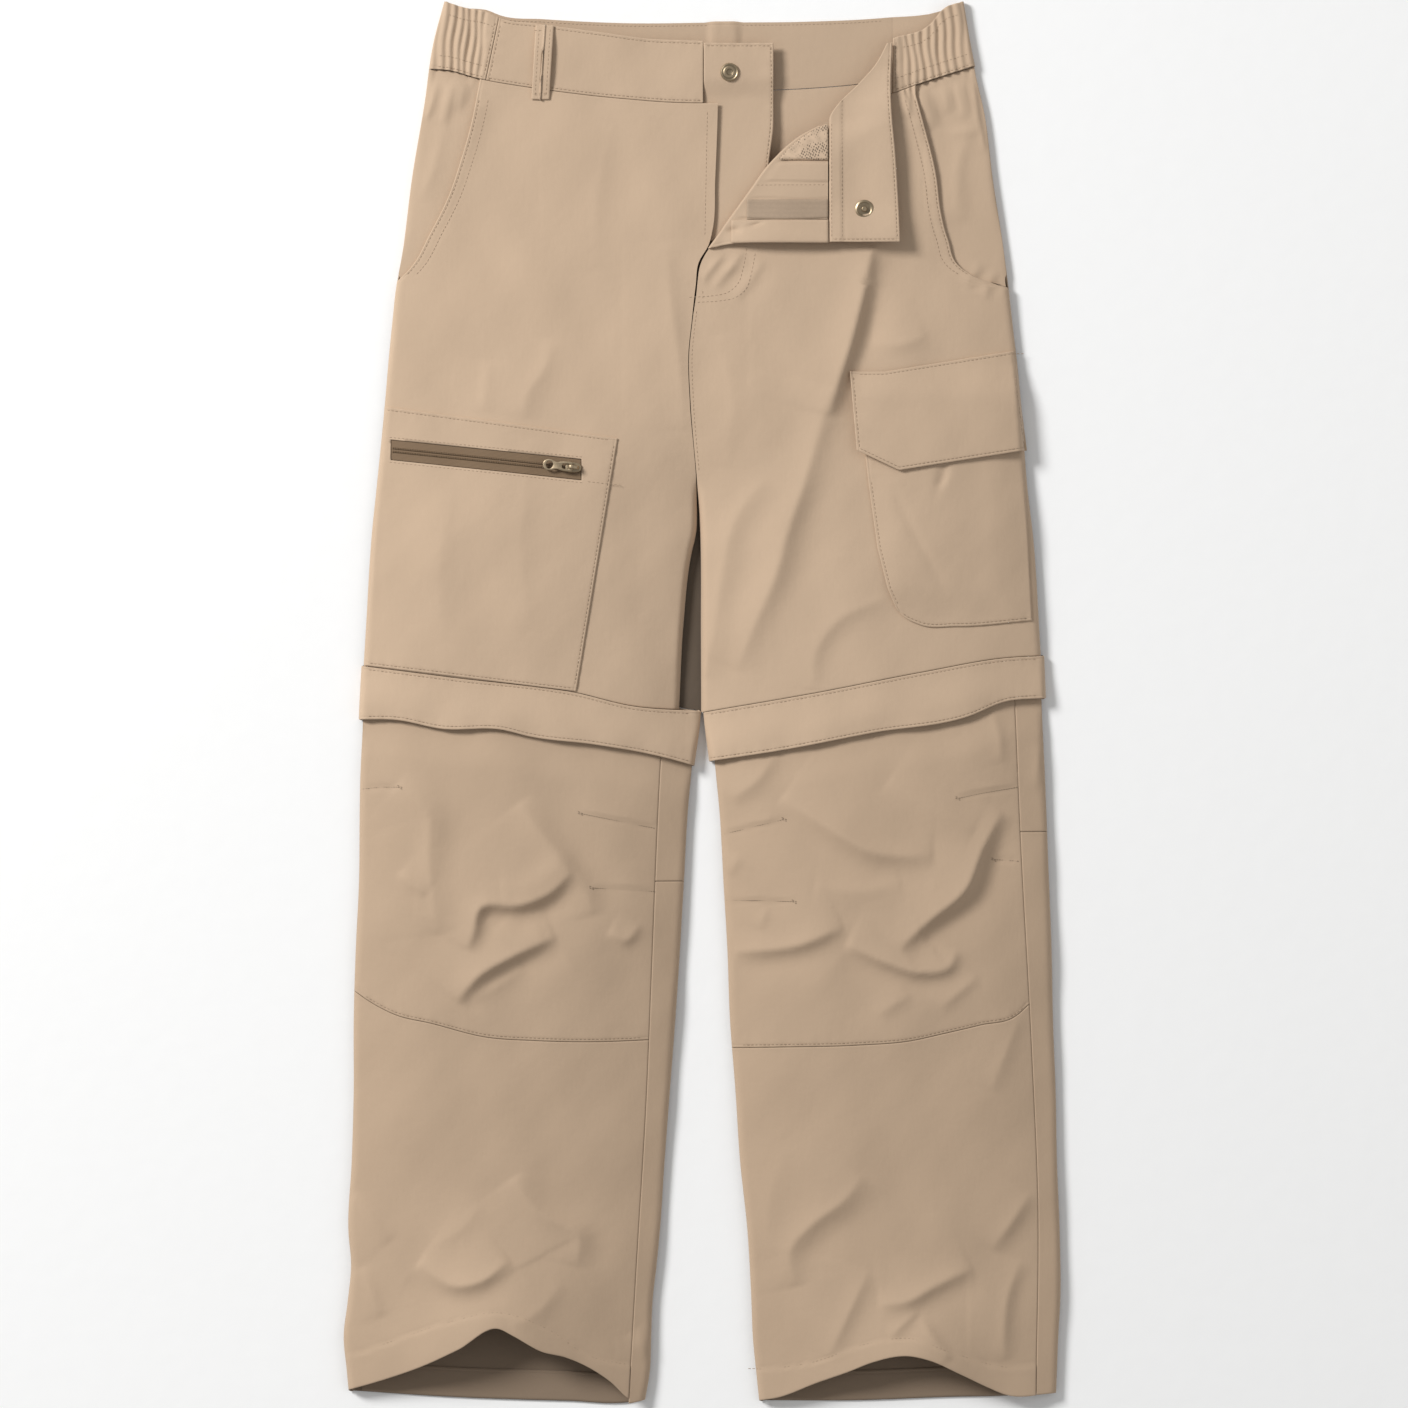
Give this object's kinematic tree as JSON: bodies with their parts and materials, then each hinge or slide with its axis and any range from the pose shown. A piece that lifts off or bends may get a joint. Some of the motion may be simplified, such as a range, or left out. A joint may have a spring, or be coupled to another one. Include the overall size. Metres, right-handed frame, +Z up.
{
  "type": "convertible zip-off trousers",
  "caption": "Convertible zip-off trousers in khaki cloth, laid flat with the fly corner folded back, a zipped thigh pocket and a cargo pocket.",
  "frame": {"origin": "centre of the garment's outline on the surface it lies on", "axes": "+Y to the waistband, +X to the wearer's left leg, +Z up out of the front"},
  "size_m": [0.5372, 1.0499, 0.0353],
  "materials": {
    "cloth_upper": "fine woven khaki cloth, matt",
    "cloth_lower": "fine woven khaki cloth, slightly darker",
    "net": "open warp-knit net",
    "zip_tape": "woven zip tape with coil",
    "metal": "antique brass plating, brushed"
  },
  "bodies": {
    "garment": {"back_calf_left": "cloth_lower", "back_calf_right": "cloth_lower", "back_knee_left": "cloth_lower", "back_knee_right": "cloth_lower", "back_left": "cloth_upper", "back_right": "cloth_upper", "belt_loop_back": "cloth_upper", "belt_loop_right_front": "cloth_upper", "cargo_pocket_body": "cloth_upper", "cargo_pocket_flap": "cloth_upper", "fly_facing_left": "cloth_upper", "fly_shield": "cloth_upper", "fly_zip_tape_left": "zip_tape", "front_left": "cloth_upper", "front_left_turnback": "cloth_upper", "front_right": "cloth_upper", "hem_turn_back_left": "cloth_lower", "hem_turn_back_right": "cloth_lower", "knee_panel_left": "cloth_lower", "knee_panel_right": "cloth_lower", "knee_zip_left": "zip_tape", "knee_zip_right": "zip_tape", "pocket_bag_mesh": "net", "shin_panel_left": "cloth_lower", "shin_panel_right": "cloth_lower", "side_facing_left": "cloth_upper", "side_facing_right": "cloth_upper", "snap_socket": "metal", "snap_stud": "metal", "storm_flap_left": "cloth_upper", "storm_flap_right": "cloth_upper", "thigh_pocket": "cloth_upper", "thigh_zip_slider": "metal", "thigh_zip_tape": "zip_tape", "waistband_back": "cloth_upper", "waistband_elastic_left": "cloth_upper", "waistband_elastic_right": "cloth_upper", "waistband_front_left": "cloth_upper", "waistband_front_right": "cloth_upper", "waistband_under_fold_left": "cloth_upper"},
    "pull_tab": {"thigh_zip_pull": "metal"}
  },
  "joints": [
    {"name": "pull_tab_swing", "type": "hinge", "parent": "garment", "child": "pull_tab", "pos_m": [-0.0975, 0.1755, 0.0247], "axis": [0.1028, 0.9947, 0], "range_deg": [0, 130]}
  ]
}
